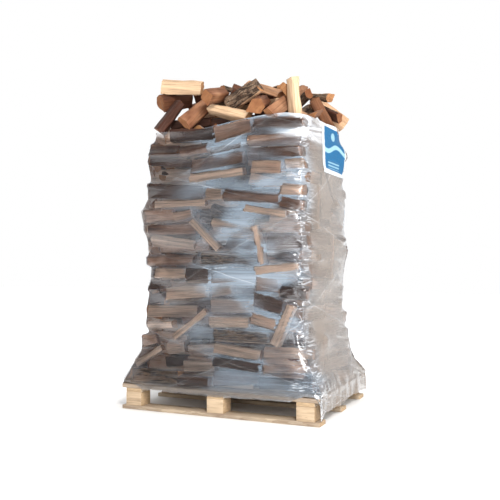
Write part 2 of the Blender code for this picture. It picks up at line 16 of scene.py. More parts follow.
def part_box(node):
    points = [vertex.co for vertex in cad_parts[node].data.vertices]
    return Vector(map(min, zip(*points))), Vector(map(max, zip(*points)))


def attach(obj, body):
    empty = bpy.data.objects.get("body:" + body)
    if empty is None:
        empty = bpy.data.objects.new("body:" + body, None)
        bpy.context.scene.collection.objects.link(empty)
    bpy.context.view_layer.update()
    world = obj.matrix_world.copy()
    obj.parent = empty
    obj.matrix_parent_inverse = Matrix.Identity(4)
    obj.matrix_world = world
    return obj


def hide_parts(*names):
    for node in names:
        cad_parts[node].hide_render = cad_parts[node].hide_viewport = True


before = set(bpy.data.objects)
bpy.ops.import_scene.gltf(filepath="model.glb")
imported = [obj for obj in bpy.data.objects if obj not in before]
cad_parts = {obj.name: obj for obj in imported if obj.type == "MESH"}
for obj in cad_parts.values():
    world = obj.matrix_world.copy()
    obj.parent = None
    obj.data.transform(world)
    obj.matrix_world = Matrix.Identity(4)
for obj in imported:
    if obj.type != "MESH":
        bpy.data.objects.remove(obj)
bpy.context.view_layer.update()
bpy.ops.object.select_all(action="DESELECT")

# Pallet
BOARD_EDGE = 0.0018
WEAR_SEED = 6
DECK_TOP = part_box("deck_board_1")[1].z
HALF_PALLET = (0.60, 0.45)

# The wrap's outlines, as in the solid: heights, and the place of a corner or side there
FRONT_LEFT_X = [
    (0.165, -0.610), (0.30, -0.590), (0.44, -0.525), (0.58, -0.560), (0.72, -0.514), (0.83, -0.514),
    (0.97, -0.548), (1.15, -0.576), (1.27, -0.508), (1.45, -0.556), (1.57, -0.502), (1.65, -0.476),
]
BACK_RIGHT_X = [
    (0.05, 0.628), (0.165, 0.622), (0.24, 0.582), (0.45, 0.548), (0.64, 0.536), (0.94, 0.568),
    (1.05, 0.550), (1.16, 0.556), (1.42, 0.532), (1.50, 0.568), (1.61, 0.526), (1.70, 0.522),
]
FRONT_RIGHT_X = [(0.05, 0.626), (0.165, 0.616), (0.26, 0.545), (0.42, 0.512), (0.70, 0.497), (1.66, 0.492)]
BACK_LEFT_X = [
    (0.165, -0.610), (0.28, -0.570), (0.50, -0.530), (0.80, -0.556), (1.05, -0.520), (1.35, -0.552),
    (1.66, -0.496),
]
FRONT_Y = [(0.165, -0.456), (0.24, -0.408), (0.38, -0.372), (0.80, -0.362), (1.20, -0.374), (1.66, -0.356)]
BACK_Y = [(0.165, 0.456), (0.24, 0.410), (0.38, 0.376), (0.75, 0.366), (1.15, 0.380), (1.68, 0.352)]
CORNER_ROUND = [(0.17, 0.012), (0.34, 0.050)]
# The lower and upper edge: places round the wrap, one to a corner, and the height there
HEM = [
    (0.0, 0.153), (0.08, 0.152), (0.14, 0.116), (0.50, 0.110), (0.84, 0.118), (0.90, 0.152), (0.955, 0.150),
    (1.0, 0.030), (1.12, 0.052), (1.45, 0.046), (1.70, 0.056), (2.0, 0.050), (2.10, 0.114), (2.55, 0.108),
    (2.95, 0.116), (3.5, 0.110), (3.9, 0.118), (4.0, 0.153),
]
RIM = [
    (0.0, 1.615), (0.30, 1.604), (0.52, 1.636), (0.72, 1.657), (0.90, 1.664), (1.0, 1.652), (1.5, 1.655),
    (2.0, 1.676), (2.6, 1.655), (3.2, 1.662), (3.7, 1.630), (4.0, 1.615),
]

# Firewood, as in the solid
CLEAR_OF_FILM = 0.0020
LOG_LENGTH = (0.26, 0.34)
LOG_WIDTH = (0.078, 0.112)
SUNK = 0.010
CORE_TOP = 1.595
STACK_TOP = 1.545
CORNER_LOG = 0.095
CELL = 0.005
BASIN = 0.040
STEEPEST = 16
SMALLEST = 0.110
BED_RISE = 0.055
BED_WIDTH = 0.080
LOG_GAP = 0.002
SIDE_REACH = 0.66
SHORT_LOG = 0.12
SHORTEST = 0.03
TRIM = 0.008
CORNER_SHARE = 0.13
END_CLEAR = 0.012
TAPER = (0.84, 0.97)
SKEW = 0.12
SIDE_SEEDS = (11, 12, 13, 14)
BED_SEED = 5
# Heading, rows, logs in a row, and how long and how deep the layer is
BED_LAYERS = [(90, 9, 2, 0.84, 0.53), (0, 4, 3, 0.82, 0.42)]
HEAP_LOGS = 3
HEAP_SEED = 31
HEAP_SPREAD = (0.30, 0.10)
HEAP_MIDDLES = (1.675, 1.695)
HEAP_LEAN = (-14, 14)
HEAP_LENGTH = (0.22, 0.30)
HEAP_WIDTH = (0.100, 0.125)
# Logs that stand out: place along the side, height, slope in degrees, length and width
FRONT_LOGS = [
    (-0.47, 0.28, 31, 0.20, 0.060), (-0.21, 0.43, 38, 0.26, 0.062), (0.32, 0.70, 6, 0.25, 0.072),
    (0.39, 0.83, 2, 0.24, 0.056), (-0.11, 0.88, -44, 0.24, 0.063), (-0.34, 0.77, -1, 0.20, 0.085),
    (0.22, 0.96, -78, 0.22, 0.060), (-0.27, 1.10, 0, 0.33, 0.060), (0.26, 1.12, -10, 0.25, 0.056),
    (-0.04, 1.29, 4, 0.34, 0.064), (0.36, 0.50, 66, 0.24, 0.074),
]
RIGHT_LOGS = [
    (-0.14, 0.30, 62, 0.22, 0.088), (0.05, 0.84, 84, 0.25, 0.064), (-0.16, 1.14, 90, 0.24, 0.056),
    (0.02, 1.22, -52, 0.26, 0.068),
]
# A log's corners round its middle: the direction, and the share of its half width
SECTIONS = {
    "quarter": [(225, 1.05), (325, 0.84), (20, 0.95), (70, 0.95), (125, 0.84)],
    "wedge": [(215, 1.10), (330, 0.82), (25, 0.95), (75, 0.85)],
    "half": [(195, 0.95), (345, 0.95), (25, 0.92), (90, 0.80), (155, 0.92)],
    "stick": [(40, 1.05), (130, 0.98), (222, 1.08), (318, 0.95)],
}

# What the looks add to the firewood
SECOND_LAYER = 0.088
SECOND_LAYER_SHARE = 0.84
SECOND_LAYER_SEEDS = 40
SUNK_IN = (-0.022, 0.060)
TURNED_IN = 7.0
TURNED_UP = 6.5
TWIST = 0.14
SOFT_CORNER = 0.0045
TORN = 0.0052
BARK_SHARE = 0.16
# How dark a log is, from pale to deep brown: those at the front of the heap have their own
STANDING_OUT_TINT = 0.10
FRONT_TINTS = (0.05, 0.90, 0.80, 0.72, 0.10, 0.66, 0.72, 0.74, 0.06, 0.52)
LOOSE_TINTS = (0.35, 1.0)
LOOSE_SOFT_CORNER = 0.005
LOOSE_TORN = 0.0058
LOOSE_BARK_SHARE = 0.30

# Film
FILM_COLUMNS = 300
FILM_ROWS = 316
FILM_OFF_WOOD = 0.0012
FILM_REACH = 0.30
DEEPEST_GAP = 0.12
CORNER_WAY = 0.05
PULL_BESIDE = 0.40
PULL_ABOVE = 0.10
THINNED = 4
THINNED_ROUNDS = 2500
ROUNDS = 700
BULGE = 0.008
FOLD = 0.022
FOLD_TOP = 0.24
LABEL_OFF_FILM = 0.0016

# Setting
FLOOR_GLOW = 0.45
DIM_STUDIO = 0.14

# Camera, fitted to the pallet's corners in the photograph
CAMERA_PLACE = (1.71, -3.90, 0.85)
CAMERA_TURN = 23.5
CAMERA_PITCH = 0.98
CAMERA_LENS = 50.4


# Shader maths


class Value:
    """A socket of a material, or a number, that Python's operators work on."""

    def __init__(self, look, source):
        self.look = look
        self.source = source

    def maths(self, operation, *others):
        places = dict(enumerate((self, *others)))
        return self.look.node("ShaderNodeMath", {"operation": operation}, places)

    def __add__(self, other):
        return self.maths("ADD", other)

    def __radd__(self, other):
        return self.maths("ADD", other)

    def __sub__(self, other):
        return self.maths("SUBTRACT", other)

    def __rsub__(self, other):
        return (self * -1.0).maths("ADD", other)

    def __mul__(self, other):
        return self.maths("MULTIPLY", other)

    def __rmul__(self, other):
        return self.maths("MULTIPLY", other)

    def __truediv__(self, other):
        return self.maths("DIVIDE", other)

    def ramp(self, low, high, to_low=0.0, to_high=1.0):
        """Smoothly from to_low to to_high as this value goes from low to high."""
        places = {0: self, 1: low, 2: high, 3: to_low, 4: to_high}
        return self.look.node("ShaderNodeMapRange", {"interpolation_type": "SMOOTHSTEP"}, places)


class Look:
    """A material whose nodes are added one expression at a time."""

    def __init__(self, name):
        self.material = bpy.data.materials.new(name)
        self.material.use_nodes = True
        self.tree = self.material.node_tree
        self.shader = self.tree.nodes["Principled BSDF"]

    def put(self, socket, value):
        if isinstance(value, Value):
            self.tree.links.new(value.source, socket)
        elif isinstance(value, tuple) and socket.type == "RGBA":
            socket.default_value = (*value, 1.0)
        else:
            socket.default_value = value

    def node(self, kind, settings=None, places=None, output=0):
        made = self.tree.nodes.new(kind)
        for name, setting in (settings or {}).items():
            setattr(made, name, setting)
        for place, value in (places or {}).items():
            self.put(made.inputs[place], value)
        return Value(self, made.outputs[output])

    def mix(self, factor, first, second):
        return self.node("ShaderNodeMix", {"data_type": "RGBA"}, {0: factor, 6: first, 7: second}, 2)

    def noise(self, place, scale, detail=4.0, distortion=0.0):
        places = {"Vector": place, "Scale": scale, "Detail": detail, "Distortion": distortion}
        return self.node("ShaderNodeTexNoise", {}, places)

    def stretched(self, place, across):
        """A place whose coordinates are multiplied by three factors."""
        return self.node("ShaderNodeVectorMath", {"operation": "MULTIPLY"}, {0: place, 1: across})

    def attribute(self, name, output="Vector"):
        return self.node("ShaderNodeAttribute", {"attribute_name": name}, {}, output)

    def part(self, place, number):
        """One of the three coordinates of a place."""
        return self.node("ShaderNodeSeparateXYZ", {}, {0: place}, number)

    def shader_node(self, kind, places):
        return self.node(kind, {}, places).source

    def shader_mix(self, factor, first, second):
        places = {0: factor, 1: Value(self, first), 2: Value(self, second)}
        return self.shader_node("ShaderNodeMixShader", places)

    def set(self, **places):
        names = {"colour": "Base Color", "roughness": "Roughness", "normal": "Normal", "alpha": "Alpha"}
        for name, value in places.items():
            self.put(self.shader.inputs[names.get(name, name)], value)

    def bump(self, height, strength, distance):
        places = {"Height": height, "Strength": strength, "Distance": distance}
        return self.node("ShaderNodeBump", {}, places)

    def rings(self, place, scale, distortion, detail_scale):
        """Growth rings round a log's heart."""
        settings = {"wave_type": "RINGS", "rings_direction": "X", "wave_profile": "SAW"}
        places = {"Vector": place, "Scale": scale, "Distortion": distortion, "Detail": 2.0,
                  "Detail Scale": detail_scale}
        return self.node("ShaderNodeTexWave", settings, places, "Fac")


def linear(red, green, blue):
    """A colour given in the 0 to 255 of a picture, as a shader's values."""
    shares = [c / 255 for c in (red, green, blue)]
    return tuple(((c + 0.055) / 1.055) ** 2.4 if c > 0.04 else c / 12.92 for c in shares)


def split_face_look(name, pale, middle, deep):
    """Freshly split wood: long fibres, growth rings seen from the side, and a colour for each log."""
    look = Look(name)
    place = look.attribute("log_space")
    tint = look.attribute("tint", "Fac")
    fibres = look.noise(look.stretched(place, (7.0, 150.0, 150.0)), 1.0, 5.0)
    streaks = look.noise(look.stretched(place, (2.2, 26.0, 26.0)), 1.0, 3.0, 0.6)
    patches = look.noise(place, 9.0, 2.0)
    rings = look.rings(place, 32.0, 3.5, 1.4)
    warm = look.mix((tint * 1.25 + patches * 0.5 - 0.42).ramp(0.0, 1.0), pale, middle)
    base = look.mix((tint * 1.6 + patches * 0.5 - 1.08).ramp(0.0, 0.60), warm, deep)
    shade = (streaks.ramp(0.36, 0.68) * 0.42 + rings * 0.22 + fibres.ramp(0.42, 0.62) * 0.28).ramp(0.0, 1.0)
    dark = look.mix(0.72, base, tuple(c * 0.36 for c in deep))
    look.set(
        colour=look.mix(shade * 0.85, base, dark),
        roughness=fibres.ramp(0.3, 0.7, 0.62, 0.88),
        normal=look.bump(fibres * 0.6 + streaks * 0.9 + rings * 0.3, 0.75, 0.0030),
    )
    return look.material


def bark_look():
    look = Look("bark")
    place = look.attribute("log_space")
    tint = look.attribute("tint", "Fac")
    plates = look.noise(look.stretched(place, (12.0, 62.0, 62.0)), 1.0, 4.0, 1.2)
    grit = look.noise(place, 160.0, 6.0)
    cracks = plates.ramp(0.40, 0.56)
    outer = look.mix(tint, linear(128, 100, 78), linear(92, 70, 54))
    grey = look.mix(grit.ramp(0.45, 0.68), outer, linear(150, 132, 112))
    look.set(
        colour=look.mix(cracks, linear(48, 32, 22), grey),
        roughness=0.92,
        normal=look.bump(cracks + grit * 0.5, 0.9, 0.0045),
    )
    return look.material


def sawn_end_look(name, pale, middle):
    """A sawn end: rings round the heart and the marks of the saw."""
    look = Look(name)
    place = look.attribute("log_space")
    tint = look.attribute("tint", "Fac")
    rings = look.rings(place, 60.0, 1.6, 0.9)
    saw = look.noise(look.stretched(place, (1.0, 30.0, 420.0)), 1.0, 2.0)
    patches = look.noise(place, 26.0, 4.0)
    base = look.mix((tint * 0.9 + patches * 0.7 - 0.35).ramp(0.0, 1.0), pale, middle)
    dark = tuple(c * 0.52 for c in middle)
    look.set(
        colour=look.mix((rings * 0.5 + saw.ramp(0.4, 0.7) * 0.35).ramp(0.0, 1.1), base, dark),
        roughness=0.82,
        normal=look.bump(saw * 0.7 + rings * 0.3, 0.5, 0.0012),
    )
    return look.material


def board_look(name, fresh, worn, dirt):
    """Rough sawn boards that have stood outside: grain, saw marks and greyed patches."""
    look = Look(name)
    place = look.attribute("log_space")
    tint = look.attribute("tint", "Fac")
    grain = look.node(
        "ShaderNodeTexWave",
        {"wave_type": "BANDS", "bands_direction": "Y", "wave_profile": "SAW"},
        {"Vector": look.stretched(place, (0.22, 1.0, 1.0)), "Scale": 30.0, "Distortion": 7.0, "Detail": 3.0,
         "Detail Scale": 1.2},
        "Fac",
    )
    fibres = look.noise(look.stretched(place, (9.0, 170.0, 170.0)), 1.0, 4.0)
    saw = look.noise(look.stretched(place, (260.0, 8.0, 8.0)), 1.0, 2.0)
    patches = look.noise(look.stretched(place, (3.0, 9.0, 9.0)), 1.0, 4.0)
    clean = look.mix((patches + tint * 0.5 - 0.25).ramp(0.25, 0.8), fresh, worn)
    stained = look.mix(patches.ramp(0.52, 0.78) * 0.7, clean, dirt)
    look.set(
        colour=look.mix((grain * 0.5 + fibres.ramp(0.4, 0.65) * 0.35).ramp(0.1, 1.0) * 0.6, stained, dirt),
        roughness=0.86,
        normal=look.bump(fibres * 0.5 + saw * 0.4 + grain * 0.3, 0.6, 0.0016),
    )
    return look.material


# Meshes


def from_bmesh(name, bm, looks):
    mesh = bpy.data.meshes.new(name)
    bm.to_mesh(mesh)
    bm.free()
    made = bpy.data.objects.new(name, mesh)
    bpy.context.scene.collection.objects.link(made)
    for look in looks:
        mesh.materials.append(look)
    return made


def edit(piece, select, operator, **settings):
    """Select edges of a piece by a test on each, and run one edit mode operator on them."""
    bpy.context.view_layer.objects.active = piece
    bpy.ops.object.mode_set(mode="EDIT")
    bpy.ops.mesh.select_mode(type="EDGE")
    bpy.ops.mesh.select_all(action="DESELECT")
    bm = bmesh.from_edit_mesh(piece.data)
    space = bm.verts.layers.float_vector.get("log_space")
    for edge in bm.edges:
        edge.select = select(edge, space)
    bm.select_flush_mode()
    bmesh.update_edit_mesh(piece.data)
    operator(**settings)
    bpy.ops.object.mode_set(mode="OBJECT")


def runs_along(edge, space):
    step = edge.verts[1][space] - edge.verts[0][space]
    return abs(step.x) > 0.6 * step.length


def runs_across(edge, space):
    return not runs_along(edge, space)


def at_corner(edge, space):
    return runs_along(edge, space) and edge.calc_face_angle(0.0) > math.radians(18)


def roughen(piece, corner_width, cuts_along, cuts_across, depth, seed):
    """Give split logs soft corners, a mesh fine enough for their fibres, and torn, uneven faces."""
    edit(piece, at_corner, bpy.ops.mesh.bevel, offset=corner_width, segments=1, affect="EDGES")
    edit(piece, runs_along, bpy.ops.mesh.subdivide, number_cuts=cuts_along)
    if cuts_across:
        edit(piece, runs_across, bpy.ops.mesh.subdivide, number_cuts=cuts_across)
    mesh = piece.data
    space = mesh.attributes["log_space"].data
    normals = [v.normal.copy() for v in mesh.vertices]
    shift = Vector((seed, 0.0, 0.0))
    for vert, normal in zip(mesh.vertices, normals):
        at_log = space[vert.index].vector + shift
        swell = noise.noise(Vector((at_log.x * 9.0, at_log.y * 14.0, at_log.z * 14.0)))
        fibre = noise.noise(Vector((at_log.x * 16.0, at_log.y * 95.0, at_log.z * 95.0)))
        tear = abs(noise.noise(Vector((at_log.x * 5.0 + 9.0, at_log.y * 42.0, at_log.z * 42.0))))
        vert.co += normal * (depth * (0.9 * swell + 0.55 * fibre - 0.9 * tear))
    mesh.update()


# The layout of the wrapped logs, as in the solid


def at(outline, place):
    places, values = zip(*outline)
    return float(np.interp(place, places, values))


def wrap_corners(z, inset=0.0):
    front, back = at(FRONT_Y, z) + inset, at(BACK_Y, z) - inset
    return [
        Vector((at(FRONT_LEFT_X, z) + inset, front)),
        Vector((at(FRONT_RIGHT_X, z) - inset, front)),
        Vector((at(BACK_RIGHT_X, z) - inset, back)),
        Vector((at(BACK_LEFT_X, z) + inset, back)),
    ]


def section(form, width, roll, rng):
    points = []
    for angle, share in SECTIONS[form]:
        turn = math.radians(angle + roll + rng.uniform(-6, 6))
        reach = width / 2 * share * rng.uniform(0.93, 1.05)
        points.append((reach * math.cos(turn), reach * math.sin(turn)))
    low, high = np.min(points, axis=0), np.max(points, axis=0)
    return [(p[0] - (low[0] + high[0]) / 2, p[1] - (low[1] + high[1]) / 2) for p in points]


class Firewood:
    """A mesh of many split logs, each with its own coordinates along and round its heart."""

    def __init__(self, seed):
        self.bm = bmesh.new()
        self.space = self.bm.verts.layers.float_vector.new("log_space")
        self.tint = self.bm.verts.layers.float.new("tint")
        self.looks = random.Random(seed)
        self.standing_out = False

    def add(self, outline, length, place, rng):
        taper = rng.uniform(*TAPER)
        near = [Vector((-length / 2, y, z)) for y, z in outline]
        far = []
        for y, z in outline:
            skew = z * rng.uniform(-SKEW, SKEW)
            far.append(Vector((length / 2 + skew, y * taper, z * taper)))
        twist = Matrix.Rotation(self.looks.uniform(-TWIST, TWIST), 4, "X")
        ends = (near, [twist @ p for p in far])
        heart = Vector((self.looks.uniform(-9, 9), -outline[0][0] * 1.1, -outline[0][1] * 1.1))
        tint, barked = self.looks.random(), self.looks.random() < BARK_SHARE
        if self.standing_out:
            tint, barked = tint * STANDING_OUT_TINT, False
        rings = []
        for ring in ends:
            verts = [self.bm.verts.new(place @ p) for p in ring]
            for vert, p in zip(verts, ring):
                vert[self.space] = p + heart
                vert[self.tint] = tint
            rings.append(verts)
        start, end = rings
        count = len(outline)
        for i in range(count):
            face = self.bm.faces.new((start[i], start[(i + 1) % count], end[(i + 1) % count], end[i]))
            face.material_index = 1 if barked and 0 < i < count - 1 else 0
        for face in (self.bm.faces.new(start[::-1]), self.bm.faces.new(end)):
            face.material_index = 2
        return start + end

    def remove(self, verts):
        bmesh.ops.delete(self.bm, geom=verts, context="VERTS")


def leaning_box(cells, along, length, height, slope):
    c, s = math.cos(slope), math.sin(slope) or 1e-6
    x = cells - along
    across = np.sort([(-length / 2 - x * c) / s, (length / 2 - x * c) / s], axis=0)
    under = np.maximum((x * s - height / 2) / c, across[0])
    over = np.minimum((x * s + height / 2) / c, across[1])
    return under, over, over > under


def rest_height(cells, tops, along, length, height, slope):
    under, _, covered = leaning_box(cells, along, length, height, slope)
    return float(np.max(tops[covered] - under[covered])) if covered.any() else 0.0


class Side:
    """One upright side of the stack, filled from the deck up, each log resting on those below."""

    def __init__(self, ends, standing_out, seed):
        self.cells = np.arange(-SIDE_REACH, SIDE_REACH, CELL)
        self.tops = np.full(len(self.cells), DECK_TOP + LOG_GAP)
        self.ends = ends
        self.waiting = sorted(standing_out, key=lambda log: log[1])
        self.rng = random.Random(seed)
        self.logs = []
        self.standing = set()

    def put(self, along, length, width, slope, form, roll):
        outline = section(form, width, roll, self.rng)
        height = max(p[1] for p in outline) - min(p[1] for p in outline)
        steps = [math.radians(d) for d in range(-STEEPEST, STEEPEST + 1, 2)]
        slopes = steps if slope is None else [slope]
        found = sorted((rest_height(self.cells, self.tops, along, length, height, s), s) for s in slopes)
        middle, slope = self.rng.choice(found[:3])
        _, over, covered = leaning_box(self.cells, along, length, height, slope)
        self.tops[covered] = np.maximum(self.tops[covered], middle + over[covered] + LOG_GAP)
        self.logs.append((along, middle, slope, length, outline))

    def put_waiting(self, level):
        while self.waiting:
            along, middle, degrees, length, width = self.waiting[0]
            slope = math.radians(degrees)
            rise = (length * abs(math.sin(slope)) + width * math.cos(slope)) / 2
            if middle - rise > level + 0.02 or not self.beds(along, middle, length, width, slope, level):
                return
            self.waiting.pop(0)
            self.standing.add(len(self.logs))
            self.put(along, length, width, slope, "stick", self.rng.uniform(-12, 12))

    def beds(self, along, middle, length, width, slope, level):
        if abs(slope) > math.radians(STEEPEST) or level > middle:
            return True
        under, _, covered = leaning_box(self.cells, along, length, width, slope)
        rest = rest_height(self.cells, self.tops, along, length, width, slope)
        return np.mean(rest + under[covered] - self.tops[covered]) < BASIN

    def fill(self, top):
        while True:
            inside = self.inside()
            low = np.where(inside)[0][np.argmin(self.tops[inside])]
            level = self.tops[low]
            if level > top:
                return self.logs
            self.put_waiting(level)
            self.fill_basin(low, level, inside)

    def inside(self):
        level = float(np.min(self.tops))
        left, right = self.ends(max(level, DECK_TOP))
        inside = (self.cells > left) & (self.cells < right)
        self.tops[~inside] = np.maximum(self.tops[~inside], level + CELL)
        return inside

    def fill_basin(self, low, level, inside):
        open_cells = inside & (self.tops < level + BASIN)
        start = stop = low
        while start > 0 and open_cells[start - 1]:
            start -= 1
        while stop < len(self.cells) - 1 and open_cells[stop + 1]:
            stop += 1
        room = self.cells[stop] - self.cells[start]
        if room < SMALLEST:
            self.tops[start : stop + 1] = level + BASIN
            return
        form = self.rng.choice(["quarter", "wedge", "half", "stick", "quarter"])
        width = self.rng.uniform(*LOG_WIDTH)
        roll = self.rng.choice([0, 90, 180, 270]) + self.rng.uniform(-14, 14)
        length = min(self.rng.uniform(*LOG_LENGTH), room)
        if room - length < SMALLEST:
            length = min(room, LOG_LENGTH[1])
        at_left = self.rng.random() < 0.5
        edge = self.cells[start] + length / 2 if at_left else self.cells[stop] - length / 2
        slope = 0.0 if length < SHORT_LOG else None
        self.put(edge, length - 2 * LOG_GAP, width, slope, form, roll)


def log_samples(verts, steps=7):
    half = len(verts) // 2
    points = []
    for i in range(half):
        j = (i - 1) % half
        corner = (verts[i].co, verts[i + half].co)
        side = ((verts[i].co + verts[j].co) / 2, (verts[i + half].co + verts[j + half].co) / 2)
        for a, b in (corner, side):
            points += [a.lerp(b, k / steps) for k in range(steps + 1)]
    return points


def push_out(verts, outward, film_tree):
    """Move a log outwards until it is as near the film's solid as it may be."""
    room = []
    for point in log_samples(verts):
        start = Vector((point.x * abs(outward.y), point.y * abs(outward.x), point.z))
        hit = film_tree.ray_cast(start, outward)[0]
        if hit is not None:
            room.append((hit - point).dot(outward))
    if room:
        for vert in verts:
            vert.co += outward * (min(room) - CLEAR_OF_FILM)


def fit_log(wood, outline, length, place, outward, film_tree, rng):
    state = rng.getstate()
    while length > SHORTEST:
        rng.setstate(state)
        verts = wood.add(outline, length, place, rng)
        push_out(verts, outward, film_tree)
        number = {v: i for i, v in enumerate(verts)}
        faces = [[number[v] for v in f.verts] for f in wood.bm.faces if f.verts[0] in number]
        if not film_tree.overlap(BVHTree.FromPolygons([v.co for v in verts], faces)):
            return verts
        wood.remove(verts)
        length -= TRIM
    return []


def side_place(outward, along, height, slope):
    across = Vector((abs(outward.y), abs(outward.x), 0.0))
    turn = Matrix.Identity(4) if across.x else Matrix.Rotation(math.pi / 2, 4, "Z")
    lean = Matrix.Rotation(-slope, 4, "Y")
    return Matrix.Translation(across * along + Vector((0.0, 0.0, height))) @ turn @ lean


def side_ends(outward):
    def ends(z):
        levels = [wrap_corners(z, CLEAR_OF_FILM), wrap_corners(z + LOG_WIDTH[1], CLEAR_OF_FILM)]
        if outward.x:
            return max(c[0].y for c in levels) + CORNER_LOG, min(c[2].y for c in levels) - CORNER_LOG
        here, beyond = ((0, 3), (1, 2)) if outward.y < 0 else ((3, 0), (2, 1))
        lefts = [(c[here[0]], c[here[0]].lerp(c[here[1]], CORNER_SHARE)) for c in levels]
        rights = [(c[beyond[0]], c[beyond[0]].lerp(c[beyond[1]], CORNER_SHARE)) for c in levels]
        left = max(max(a.x, b.x) for a, b in lefts)
        right = min(min(a.x, b.x) for a, b in rights)
        return left + END_CLEAR, right - END_CLEAR
    return ends


def shift(verts, move, axis, degrees):
    """Move a log, and turn it about its own middle."""
    if verts:
        middle = sum((v.co for v in verts), Vector()) / len(verts)
        turn = Matrix.Rotation(math.radians(degrees), 3, axis)
        for vert in verts:
            vert.co = turn @ (vert.co - middle) + middle + move


SIDES = [((0, -1, 0), FRONT_LOGS), ((1, 0, 0), RIGHT_LOGS), ((0, 1, 0), []), ((-1, 0, 0), [])]


def stack_sides(wood, film_tree):
    """The outer logs of the four sides, and behind them a second layer that closes the gaps."""
    for (way, standing_out), seed in zip(SIDES, SIDE_SEEDS):
        outward = Vector(way)
        side = Side(side_ends(outward), standing_out, seed)
        for i, (along, height, slope, length, outline) in enumerate(side.fill(STACK_TOP)):
            place = side_place(outward, along, height, slope)
            sunk = 0.0
            if i not in side.standing:
                sunk = max(0.0, wood.looks.uniform(*SUNK_IN))
                turned = math.radians(wood.looks.gauss(0.0, TURNED_IN))
                place = place @ Matrix.Rotation(turned, 4, "Z")
            wood.standing_out = i in side.standing
            verts = fit_log(wood, outline, length, place, outward, film_tree, side.rng)
            turned_up = wood.looks.gauss(0.0, TURNED_UP) * sunk / SUNK_IN[1]
            shift(verts, -outward * sunk, outward, turned_up)
    wood.standing_out = False
    for (way, _), seed in zip(SIDES, SIDE_SEEDS):
        outward = Vector(way)
        side = Side(side_ends(outward), [], seed + SECOND_LAYER_SEEDS)
        for along, height, slope, length, outline in side.fill(STACK_TOP):
            place = side_place(outward, along * SECOND_LAYER_SHARE, height, slope)
            for vert in fit_log(wood, outline, length, place, outward, film_tree, side.rng):
                vert.co -= outward * SECOND_LAYER


def lay_bed(wood):
    """The layers of logs side by side under the heap."""
    rng = random.Random(BED_SEED)
    for layer, (heading, rows, places, long_x, deep_y) in enumerate(BED_LAYERS):
        turn = Matrix.Rotation(math.radians(heading), 4, "Z")
        along, across = (long_x, deep_y) if heading == 0 else (deep_y, long_x)
        pitch = along / places
        for row in range(rows):
            for place in range(places):
                form = rng.choice(["quarter", "half", "stick"])
                outline = section(form, BED_WIDTH, rng.uniform(0, 360), rng)
                lift = CORE_TOP - SUNK + layer * BED_RISE - min(p[1] for p in outline)
                aside = across * (row / (rows - 1) - 0.5)
                middle = Vector((pitch * (place + 0.5) - along / 2, aside, lift))
                lean = Matrix.Rotation(math.radians(rng.uniform(-3, 3)), 4, "Z")
                place_in_row = turn @ Matrix.Translation(middle) @ lean
                wood.add(outline, pitch - END_CLEAR, place_in_row, rng)


def heap_up(wood):
    """The lowest logs of the heap, which the loose ones lie on."""
    rng = random.Random(HEAP_SEED)
    for i in range(HEAP_LOGS):
        turn = 2.4 * i
        reach = math.sqrt((i + 0.5) / HEAP_LOGS)
        x, y = HEAP_SPREAD[0] * reach * math.cos(turn), HEAP_SPREAD[1] * reach * math.sin(turn)
        z = HEAP_MIDDLES[1] + (HEAP_MIDDLES[0] - HEAP_MIDDLES[1]) * reach
        place = (
            Matrix.Translation((x, y, z))
            @ Matrix.Rotation(rng.uniform(0, math.tau), 4, "Z")
            @ Matrix.Rotation(math.radians(rng.uniform(*HEAP_LEAN)), 4, "Y")
        )
        form, width = rng.choice(list(SECTIONS)), rng.uniform(*HEAP_WIDTH)
        outline = section(form, width, rng.uniform(0, 360), rng)
        wood.add(outline, rng.uniform(*HEAP_LENGTH), place, rng)


def solid_tree(pieces):
    """One search tree of the surfaces of several pieces."""
    verts, faces = [], []
    for piece in pieces:
        first = len(verts)
        verts += [v.co.copy() for v in piece.data.vertices]
        faces += [[first + i for i in p.vertices] for p in piece.data.polygons]
    return BVHTree.FromPolygons(verts, faces)


def make_wrapped_logs(looks):
    wood = Firewood(3)
    stack_sides(wood, solid_tree([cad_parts["stretch_film"]]))
    lay_bed(wood)
    heap_up(wood)
    logs = from_bmesh("wrapped_logs", wood.bm, looks)
    roughen(logs, SOFT_CORNER, 6, 0, TORN, 2.0)
    logs.data.shade_smooth()
    logs.data.set_sharp_from_angle(angle=math.radians(30))
    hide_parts("stacked_firewood")
    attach(logs, "root")
    return logs


# Loose logs on top


def mark_log(piece, tint, barked, shift):
    """Find a log's ends and heart from its prism, and store the places round its heart."""
    bm = bmesh.new()
    bm.from_mesh(piece.data)
    space = bm.verts.layers.float_vector.new("log_space")
    colour = bm.verts.layers.float.new("tint")
    middles = {face: face.calc_center_median() for face in bm.faces}
    pairs = [(a, b) for a in bm.faces for b in bm.faces if a.index < b.index]
    ends = max(pairs, key=lambda pair: (middles[pair[0]] - middles[pair[1]]).length)
    start, end = (middles[face] for face in ends)
    along = (end - start).normalized()
    side = along.orthogonal().normalized()
    up = along.cross(side)
    heart_loop = min(ends[0].loops, key=lambda loop: loop.calc_angle())
    heart = heart_loop.vert.co + (heart_loop.vert.co - start) * 0.1
    for vert in bm.verts:
        reach = vert.co - heart
        vert[space] = Vector((reach.dot(along) + shift, reach.dot(side), reach.dot(up)))
        vert[colour] = tint
    for face in bm.faces:
        split = heart_loop.vert in face.verts
        face.material_index = 2 if face in ends else int(barked and not split)
    bm.to_mesh(piece.data)
    bm.free()


